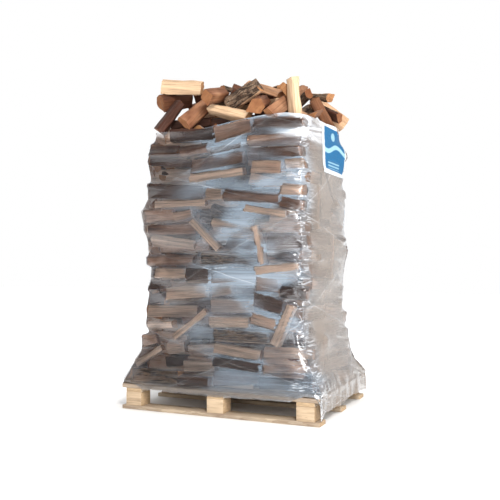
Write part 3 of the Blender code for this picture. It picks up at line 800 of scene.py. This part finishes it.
def make_loose_logs(looks):
    """Each loose log made from its own solid, cleaned of the solid's triangles and then roughened."""
    rng = random.Random(8)
    made = []
    for i, name in enumerate(sorted(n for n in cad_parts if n.startswith("top_log"))):
        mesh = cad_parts[name].data.copy()
        mesh.materials.clear()
        for look in looks:
            mesh.materials.append(look)
        log = bpy.data.objects.new(name.replace("top", "loose"), mesh)
        bpy.context.scene.collection.objects.link(log)
        bpy.context.view_layer.objects.active = log
        bpy.ops.object.mode_set(mode="EDIT")
        bpy.ops.mesh.select_all(action="SELECT")
        bpy.ops.mesh.remove_doubles(threshold=0.0001)
        bpy.ops.mesh.dissolve_limited(angle_limit=math.radians(14))
        bpy.ops.object.mode_set(mode="OBJECT")
        in_front = i < len(FRONT_TINTS)
        tint = FRONT_TINTS[i] if in_front else rng.uniform(*LOOSE_TINTS)
        barked = rng.random() < LOOSE_BARK_SHARE and not in_front
        mark_log(log, tint, barked, rng.uniform(-9, 9))
        roughen(log, LOOSE_SOFT_CORNER, 22, 3, LOOSE_TORN, rng.uniform(0, 50))
        mesh.shade_smooth()
        mesh.set_sharp_from_angle(angle=math.radians(38))
        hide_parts(name)
        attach(log, "root")
        made.append(log)
    return made


# Pallet


def make_board(name, looks, tint):
    """A sawn board or block in place of its solid, with worn edges and a slightly uneven surface."""
    low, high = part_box(name)
    size, middle = high - low, (low + high) / 2
    long_axis = max(range(3), key=lambda i: size[i])
    bpy.ops.mesh.primitive_cube_add(size=1.0, location=middle)
    board = bpy.context.object
    board.name = f"{name}_sawn"
    board.scale = size
    bpy.ops.object.transform_apply(location=True, rotation=False, scale=True)
    order = [long_axis] + [i for i in range(3) if i != long_axis]
    mesh = board.data
    for look in looks:
        mesh.materials.append(look)
    for face in mesh.polygons:
        face.material_index = int(abs(face.normal[long_axis]) > 0.9)
    mesh.attributes.new("log_space", "FLOAT_VECTOR", "POINT")
    mesh.attributes.new("tint", "FLOAT", "POINT")
    space, shade = mesh.attributes["log_space"], mesh.attributes["tint"]
    for vert in mesh.vertices:
        place = [vert.co[i] - middle[i] for i in order]
        space.data[vert.index].vector = (place[0] + tint * 7, place[1] + tint * 3, place[2])
        shade.data[vert.index].value = tint
    cuts = max(2, int(size[long_axis] / 0.035))
    edit(board, runs_along, bpy.ops.mesh.subdivide, number_cuts=cuts)
    edit(board, lambda edge, _: edge.calc_face_angle(0.0) > 1.0, bpy.ops.mesh.bevel,
         offset=BOARD_EDGE, segments=2, affect="EDGES")
    for vert in mesh.vertices:
        place = vert.co * 11.0 + Vector((tint * 40, 0.0, 0.0))
        worn = noise.noise_vector(place) * 0.0011 + noise.noise_vector(place * 4.0) * 0.0006
        worn.z = min(worn.z, 0.0) if vert.co.z > middle.z else max(worn.z, 0.0)
        vert.co += worn
    mesh.shade_smooth()
    mesh.set_sharp_from_angle(angle=math.radians(35))
    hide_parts(name)
    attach(board, "root")
    return board


def make_pallet():
    fresh, worn = linear(200, 181, 156), linear(174, 158, 141)
    boards = board_look("sawn_board", fresh, worn, linear(122, 96, 74))
    blocks = board_look("block_side", linear(208, 184, 154), linear(180, 155, 128), linear(112, 86, 64))
    ends = sawn_end_look("board_end", linear(206, 178, 142), linear(158, 128, 98))
    rng = random.Random(4)
    noise.seed_set(WEAR_SEED)  # or the wear starts from the clock
    made = []
    for name in sorted(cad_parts):
        kind = name.split("_")[0]
        if kind in ("bottom", "cross", "deck", "block"):
            looks = (blocks, ends) if kind == "block" else (boards, ends)
            board = make_board(name, looks, rng.random())
            made.append(board)
    return made


# Stretch film


def wrap_point(way, part, z):
    corners = wrap_corners(z)
    corner, after, before = corners[way % 4], corners[(way + 1) % 4], corners[way - 1]
    turn = at(CORNER_ROUND, z)
    start = corner + (before - corner).normalized() * turn
    end = corner + (after - corner).normalized() * turn
    if part <= 1.0:
        return (1 - part) ** 2 * start + 2 * part * (1 - part) * corner + part**2 * end
    reach = after + (corner - after).normalized() * turn
    return end.lerp(reach, part - 1.0)


def film_grid(columns, rows):
    """The wrap before it is drawn in: a grid of places and the way that each is drawn."""
    corner_columns = max(2, columns // 50)
    side_columns = columns // 4 - corner_columns
    around = []
    for way in range(4):
        for i in range(corner_columns):
            share = i / corner_columns
            around.append((way, share, (way + CORNER_WAY * (share - 0.5)) % 4))
        for i in range(side_columns):
            way_round = way + CORNER_WAY / 2 + (1.0 - CORNER_WAY) * i / side_columns
            around.append((way, 1.0 + i / side_columns, way_round))
    places = np.zeros((rows, len(around), 3))
    for j, (way, part, way_round) in enumerate(around):
        hem, rim = at(HEM, way_round), at(RIM, way_round)
        for i in range(rows):
            z = hem + (rim - hem) * i / (rows - 1)
            places[i, j] = (*wrap_point(way, part, z), z)
    along = np.roll(places, -1, axis=1) - np.roll(places, 1, axis=1)
    inward = np.stack([-along[..., 1], along[..., 0], np.zeros(along.shape[:2])], axis=-1)
    return places, inward / np.linalg.norm(inward, axis=-1, keepdims=True)


def draw_in(places, inward, room, drawn, rounds):
    """Tighten the film: each place moves along its own line to the middle of its neighbours."""
    for _ in range(rounds):
        now = places + inward * drawn[..., None]
        beside = np.roll(now, 1, axis=1) + np.roll(now, -1, axis=1)
        above = np.concatenate([now[1:], now[-1:]])
        below = np.concatenate([now[:1], now[:-1]])
        target = beside * PULL_BESIDE + (above + below) * PULL_ABOVE
        wanted = ((target - places) * inward).sum(axis=-1)
        drawn = np.minimum(np.maximum(wanted, 0.0), room)
    return drawn


def nearest_of(values):
    """The least of each value and its neighbours, so that a sharp log end can't cut the film."""
    low = values.copy()
    for step in (-1, 1):
        low = np.minimum(low, np.roll(values, step, axis=1))
    rows = low.copy()
    rows[1:] = np.minimum(rows[1:], low[:-1])
    rows[:-1] = np.minimum(rows[:-1], low[1:])
    return rows


def skirt_folds(places):
    """Upright folds of the loose skirt, deeper towards the hem."""
    folds = np.zeros(places.shape[:2])
    for i, j in zip(*np.where(places[..., 2] < FOLD_TOP)):
        x, y, z = places[i, j]
        broad = noise.noise(Vector((x * 16.0, y * 16.0, z * 3.0)))
        narrow = noise.noise(Vector((x * 34.0, y * 34.0, 5.0)))
        folds[i, j] = FOLD * (0.5 + (broad + 0.6 * narrow)) * (1.0 - z / FOLD_TOP)
    return folds


def film_room(places, inward, tree):
    """How far in the film may go at each place before it meets wood, below 0 where wood stands out."""
    room = np.full(places.shape[:2], FILM_REACH)
    outside = places - inward * BULGE
    for i in range(places.shape[0]):
        for j in range(places.shape[1]):
            hit = tree.ray_cast(Vector(outside[i, j]), Vector(inward[i, j]), FILM_REACH)
            if hit[3] is not None:
                room[i, j] = hit[3] - BULGE
    return room


def make_film(solids):
    places, inward = film_grid(FILM_COLUMNS, FILM_ROWS)
    far = film_room(places, inward, solid_tree(solids))
    room = nearest_of(far) - FILM_OFF_WOOD
    rows, columns = room.shape
    thin = (slice(None, None, THINNED), slice(None, None, THINNED))
    drawn = draw_in(places[thin], inward[thin], room[thin], np.zeros(room[thin].shape), THINNED_ROUNDS)
    full = np.repeat(np.repeat(drawn, THINNED, axis=0), THINNED, axis=1)[:rows, :columns]
    drawn = draw_in(places, inward, room, np.minimum(full, room), ROUNDS)
    drawn = np.minimum(drawn + skirt_folds(places), room)
    final = places + inward * drawn[..., None]
    gap = np.clip(far - drawn, 0.0, DEEPEST_GAP)
    bm = bmesh.new()
    gap_layer = bm.verts.layers.float.new("gap")
    right_layer = bm.verts.layers.float.new("right_side")
    uv_layer = bm.loops.layers.uv.new("film")
    verts = [[bm.verts.new(final[i, j]) for j in range(columns)] for i in range(rows)]
    for i in range(rows):
        for j in range(columns):
            verts[i][j][gap_layer] = gap[i, j]
            verts[i][j][right_layer] = np.clip((-inward[i, j, 0] - 0.55) / 0.4, 0.0, 1.0)
    step = np.linalg.norm(np.roll(final, -1, axis=1) - final, axis=-1)[rows // 2]
    way = np.concatenate([[0.0], np.cumsum(step)])
    for i in range(rows - 1):
        for j in range(columns):
            k = (j + 1) % columns
            face = bm.faces.new((verts[i][j], verts[i][k], verts[i + 1][k], verts[i + 1][j]))
            for loop, (a, b) in zip(face.loops, ((j, i), (j + 1, i), (j + 1, i + 1), (j, i + 1))):
                loop[uv_layer].uv = (way[a], final[b, a % columns][2])
    film = from_bmesh("film_wrap", bm, [film_look(way[-1])])
    film.data.shade_smooth()
    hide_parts("stretch_film")
    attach(film, "root")
    return film


def film_look(perimeter):
    """Clear film: milky and bright where it spans a gap, almost unseen where it lies on wood. Its colour
    also holds painted light: a blue tint over the gaps is painted sky reflection, the veil grows towards
    the right of the front as painted sheen and leaves the left darker as painted shade, and pale painted
    highlights lie on the band edges, high on the front by its right corner and down that corner.
    """
    look = Look("clear_film")
    uv = look.node("ShaderNodeUVMap", {"uv_map": "film"})
    gap = look.attribute("gap", "Fac")
    right = look.attribute("right_side", "Fac")
    streaks = look.noise(look.stretched(uv, (2.2, 120.0, 1.0)), 1.0, 4.0, 0.3)
    threads = look.noise(look.stretched(uv, (5.0, 420.0, 1.0)), 1.0, 2.0, 0.2)
    broad = look.noise(look.stretched(uv, (1.6, 11.0, 1.0)), 1.0, 3.0, 1.0)
    creases = look.noise(look.stretched(uv, (9.0, 40.0, 1.0)), 1.0, 3.0, 2.2)
    place = look.node("ShaderNodeTexCoord", {}, {}, "Object")
    along, across, up = (look.part(place, i) for i in range(3))
    patches = look.noise(look.stretched(place, (2.6, 2.6, 4.4)), 1.0, 2.0, 0.4).ramp(0.40, 0.62)
    loose = gap.ramp(0.0005, 0.050)
    # Painted sheen: the veil over the front and its blue tint grow from its left to its right, which leaves
    # the left darker as painted shade.
    painted_sheen_right = along.ramp(-0.34, 0.02, 0.35, 1.0)
    side = right * across.ramp(-0.37, -0.12, 0.35, 1.0)
    skirt = 1.0 - up.ramp(0.10, 0.24)
    # Painted highlights: a pale, hazy patch high on the front towards its right corner, and pale streaks
    # down the front-right corner.
    painted_glare_rim = up.ramp(1.46, 1.60) * along.ramp(0.08, 0.40) * broad.ramp(0.34, 0.56)
    painted_glare_corner = along.ramp(0.40, 0.47) * creases.ramp(0.50, 0.66) * (1.0 - side)
    painted_glare = painted_glare_rim + painted_glare_corner
    lines = streaks.ramp(0.46, 0.70) * 0.10 + threads.ramp(0.55, 0.75) * 0.08
    lines = lines + broad.ramp(0.42, 0.68) * 0.10
    # The band edges are the film's own overlaps; their pale lines are partly a painted highlight along each
    # edge.
    bands, edges = 0.0, 0.0
    for turns, pitch in ((2.0, 0.47), (-3.0, 0.61)):
        climb = look.part(uv, 1) / pitch + look.part(uv, 0) * (turns / perimeter) + broad * 0.05
        step = look.node("ShaderNodeMath", {"operation": "FRACT"}, {0: climb})
        bands = step.ramp(0.40, 0.404) * 0.07 + bands
        edges = (1.0 - step.ramp(0.0, 0.009)) * 0.20 + edges
    over_gaps = loose * (patches * 0.30 + 0.12) * up.ramp(0.16, 0.50, 0.45, 1.0)
    # The veil: real haze from streaks, gaps, overlaps and the skirt, with painted sheen and painted glare
    # added.
    haze_and_painted_sheen = (lines * (0.7 + loose * 0.6) + over_gaps) * painted_sheen_right + side * 0.36 + skirt * 0.08
    haze_and_painted_sheen = haze_and_painted_sheen + bands + edges + painted_glare * 0.34 + 0.03
    # Painted sky reflection: a blue tint over the loose film at the gaps, stronger towards the right of the
    # front.
    painted_sky_tint = (loose * painted_sheen_right * (patches * 0.6 + 0.4)).ramp(0.0, 0.8)
    front = look.mix(painted_sky_tint, linear(100, 78, 64), linear(146, 162, 178))
    sides = look.mix((side + skirt * 0.6).ramp(0.0, 1.0), front, linear(120, 107, 95))
    normal = look.bump(streaks * 0.22 + creases * 0.8 + broad * 0.9 + edges * 0.8, 0.45, 0.0032)
    # The pale colour on the band edges and on the painted glare is painted highlight.
    look.set(
        colour=look.mix((edges * 3.0 + painted_glare).ramp(0.0, 1.0), sides, linear(222, 226, 232)),
        roughness=0.45,
        normal=normal,
    )
    look.shader.inputs["Specular IOR Level"].default_value = 0.0
    fresnel = look.node("ShaderNodeLayerWeight", {}, {"Blend": 0.40, "Normal": normal}, "Fresnel")
    polish = streaks.ramp(0.3, 0.7, 0.08, 0.26)
    places = {"Color": linear(250, 252, 255), "Roughness": polish, "Normal": normal}
    gloss = look.shader_node("ShaderNodeBsdfGlossy", places)
    clear = look.shader_node("ShaderNodeBsdfTransparent", {})
    veil = look.shader_mix(haze_and_painted_sheen.ramp(0.0, 1.0), clear, look.shader.outputs[0])
    shown = look.shader_mix(fresnel * 1.3 + 0.01, veil, gloss)
    look.tree.links.new(shown, look.tree.nodes["Material Output"].inputs["Surface"])
    return look.material


# Label


def label_look():
    """A printed sheet: a blue panel with a pale wave, a dot and short bars, ragged where it is torn."""
    look = Look("printed_label")
    uv = look.node("ShaderNodeUVMap", {"uv_map": "label"})
    across, up = look.part(uv, 0), look.part(uv, 1)
    torn = look.noise(look.stretched(uv, (1.0, 14.0, 1.0)), 1.0, 3.0) * 0.07
    panel = (across - torn).ramp(0.06, 0.075) * (up - torn).ramp(0.05, 0.065)
    panel = panel * (1.0 - across.ramp(0.955, 0.965))
    swell = look.node("ShaderNodeMath", {"operation": "SINE"}, {0: across * 7.5}) * 0.07
    middle = (up + swell - 0.56).maths("ABSOLUTE")
    wave = 1.0 - middle.ramp(0.045, 0.055)
    rows = look.node("ShaderNodeMath", {"operation": "FRACT"}, {0: up * 15.0})
    bars = rows.ramp(0.45, 0.55) * up.ramp(0.12, 0.125) * (1.0 - up.ramp(0.30, 0.305))
    bars = bars * across.ramp(0.22, 0.23) * (1.0 - across.ramp(0.72, 0.73))
    dot = look.node("ShaderNodeVectorMath", {"operation": "DISTANCE"}, {0: uv, 1: (0.5, 0.83, 0.0)}, 1)
    motif = (wave + bars * 0.7 + (1.0 - dot.ramp(0.085, 0.095)) * 0.8).ramp(0.0, 1.0)
    blue = look.mix(motif, linear(0, 94, 142), linear(146, 188, 206))
    creases = look.noise(look.stretched(uv, (5.0, 12.0, 1.0)), 1.0, 3.0, 1.5)
    look.set(
        colour=look.mix(panel, linear(204, 210, 214), blue),
        roughness=0.45,
        normal=look.bump(creases, 0.5, 0.006),
    )
    look.shader.inputs["Specular IOR Level"].default_value = 0.15
    return look.material


def make_label(film):
    """A sheet laid on the film's right side, where its solid is."""
    low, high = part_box("label")
    tree = solid_tree([film])
    bpy.ops.mesh.primitive_grid_add(x_subdivisions=26, y_subdivisions=20, size=1.0)
    label = bpy.context.object
    label.name = "stuck_label"
    mesh = label.data
    uv = mesh.uv_layers.new(name="label")
    for loop in mesh.loops:
        co = mesh.vertices[loop.vertex_index].co
        uv.data[loop.index].uv = (co.x + 0.5, co.y + 0.5)
    for vert in mesh.vertices:
        y = low.y + (high.y - low.y) * (vert.co.x + 0.5)
        z = low.z + (high.z - low.z) * (vert.co.y + 0.5)
        hit = tree.ray_cast(Vector((1.0, y, z)), Vector((-1.0, 0.0, 0.0)))[0]
        vert.co = (hit.x + LABEL_OFF_FILM, y, z)
    mesh.materials.append(label_look())
    mesh.shade_smooth()
    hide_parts("label")
    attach(label, "root")


# Setting


def make_floor():
    """A pale floor that glows a little away from the pallet; the glow fades out towards the pallet and is
    gone under it, which is painted shade below the pallet.
    """
    bpy.ops.mesh.primitive_plane_add(size=30.0, location=(0.0, 0.0, -0.0005))
    floor = bpy.context.object
    floor.name = "floor"
    look = Look("pale_floor")
    place = look.node("ShaderNodeTexCoord", {}, {}, "Object")
    past_end = look.part(place, 0).maths("ABSOLUTE") - HALF_PALLET[0]
    past_side = look.part(place, 1).maths("ABSOLUTE") - HALF_PALLET[1]
    # Painted shade: the glow fades in from just inside the pallet's footprint to 0.4 m outside it.
    glow = past_end.maths("MAXIMUM", past_side).ramp(-0.05, 0.40)
    look.set(colour=(0.90, 0.90, 0.90), roughness=0.9)
    glow = look.mix(glow, (0.0, 0.0, 0.0), (1.0, 1.0, 1.0))
    look.put(look.shader.inputs["Emission Color"], glow)
    look.shader.inputs["Emission Strength"].default_value = FLOOR_GLOW
    floor.data.materials.append(look.material)


def area_light(name, place, target, size, power, colour):
    lamp = bpy.data.lights.new(name, "AREA")
    lamp.shape = "RECTANGLE"
    lamp.size, lamp.size_y = size
    lamp.energy = power
    lamp.color = colour
    light = bpy.data.objects.new(name, lamp)
    light.location = place
    light.rotation_euler = (Vector(target) - Vector(place)).to_track_quat("-Z", "Y").to_euler()
    bpy.context.scene.collection.objects.link(light)


def make_lights():
    """A studio that looks white and shines dimly from the front, with a strong lamp high on the right."""
    world = bpy.data.worlds.new("studio")
    bpy.context.scene.world = world
    world.use_nodes = True
    nodes, links = world.node_tree.nodes, world.node_tree.links
    place = nodes.new("ShaderNodeTexCoord")
    parts = nodes.new("ShaderNodeSeparateXYZ")
    fade = nodes.new("ShaderNodeMapRange")
    fade.interpolation_type = "SMOOTHSTEP"
    for name, value in {"From Min": -0.75, "From Max": -0.20, "To Min": DIM_STUDIO}.items():
        fade.inputs[name].default_value = value
    links.new(place.outputs["Generated"], parts.inputs[0])
    links.new(parts.outputs["Y"], fade.inputs["Value"])
    path = nodes.new("ShaderNodeLightPath")
    seen = nodes.new("ShaderNodeMath")
    seen.operation = "MAXIMUM"
    links.new(fade.outputs[0], seen.inputs[0])
    links.new(path.outputs["Is Camera Ray"], seen.inputs[1])
    links.new(seen.outputs[0], nodes["Background"].inputs["Strength"])
    nodes["Background"].inputs["Color"].default_value = (1.0, 1.0, 1.0, 1.0)
    area_light("key", (2.3, -3.4, 3.9), (0.1, 0.0, 1.1), (0.9, 0.9), 165.0, (1.0, 0.96, 0.91))
    area_light("strip", (3.2, -1.5, 1.2), (0.4, -0.2, 1.1), (0.24, 2.4), 40.0, (1.0, 0.98, 0.95))
    area_light("card", (0.5, -4.9, 1.2), (0.2, 0.0, 1.1), (1.0, 2.0), 25.0, (0.99, 0.99, 1.0))
    area_light("glint", (2.2, -3.0, 1.5), (0.4, -0.3, 1.0), (0.22, 0.6), 26.0, (1.0, 0.99, 0.97))
    area_light("sky", (-1.9, -4.3, 1.7), (0.0, 0.0, 1.1), (2.2, 1.6), 4.0, (0.84, 0.92, 1.0))


def make_camera():
    lens = bpy.data.cameras.new("camera")
    lens.lens = CAMERA_LENS
    camera = bpy.data.objects.new("camera", lens)
    camera.location = CAMERA_PLACE
    camera.rotation_euler = (math.radians(90 + CAMERA_PITCH), 0.0, math.radians(CAMERA_TURN))
    bpy.context.scene.collection.objects.link(camera)
    bpy.context.scene.camera = camera


def main():
    bpy.context.scene.view_settings.view_transform = "Standard"
    make_camera()
    make_lights()
    make_floor()
    bark = bark_look()
    pale, middle, deep = linear(224, 190, 154), linear(158, 88, 40), linear(72, 34, 15)
    split = split_face_look("split_face", pale, middle, deep)
    wrapped_split = split_face_look(
        "wrapped_split_face", linear(252, 226, 206), linear(168, 108, 72), linear(66, 35, 21))
    sawn = sawn_end_look("sawn_end", linear(194, 142, 94), linear(124, 72, 38))
    pallet = make_pallet()
    wrapped = make_wrapped_logs([wrapped_split, bark, sawn])
    loose = make_loose_logs([split, bark, sawn])
    film = make_film([wrapped, *loose, *pallet])
    make_label(film)


main()
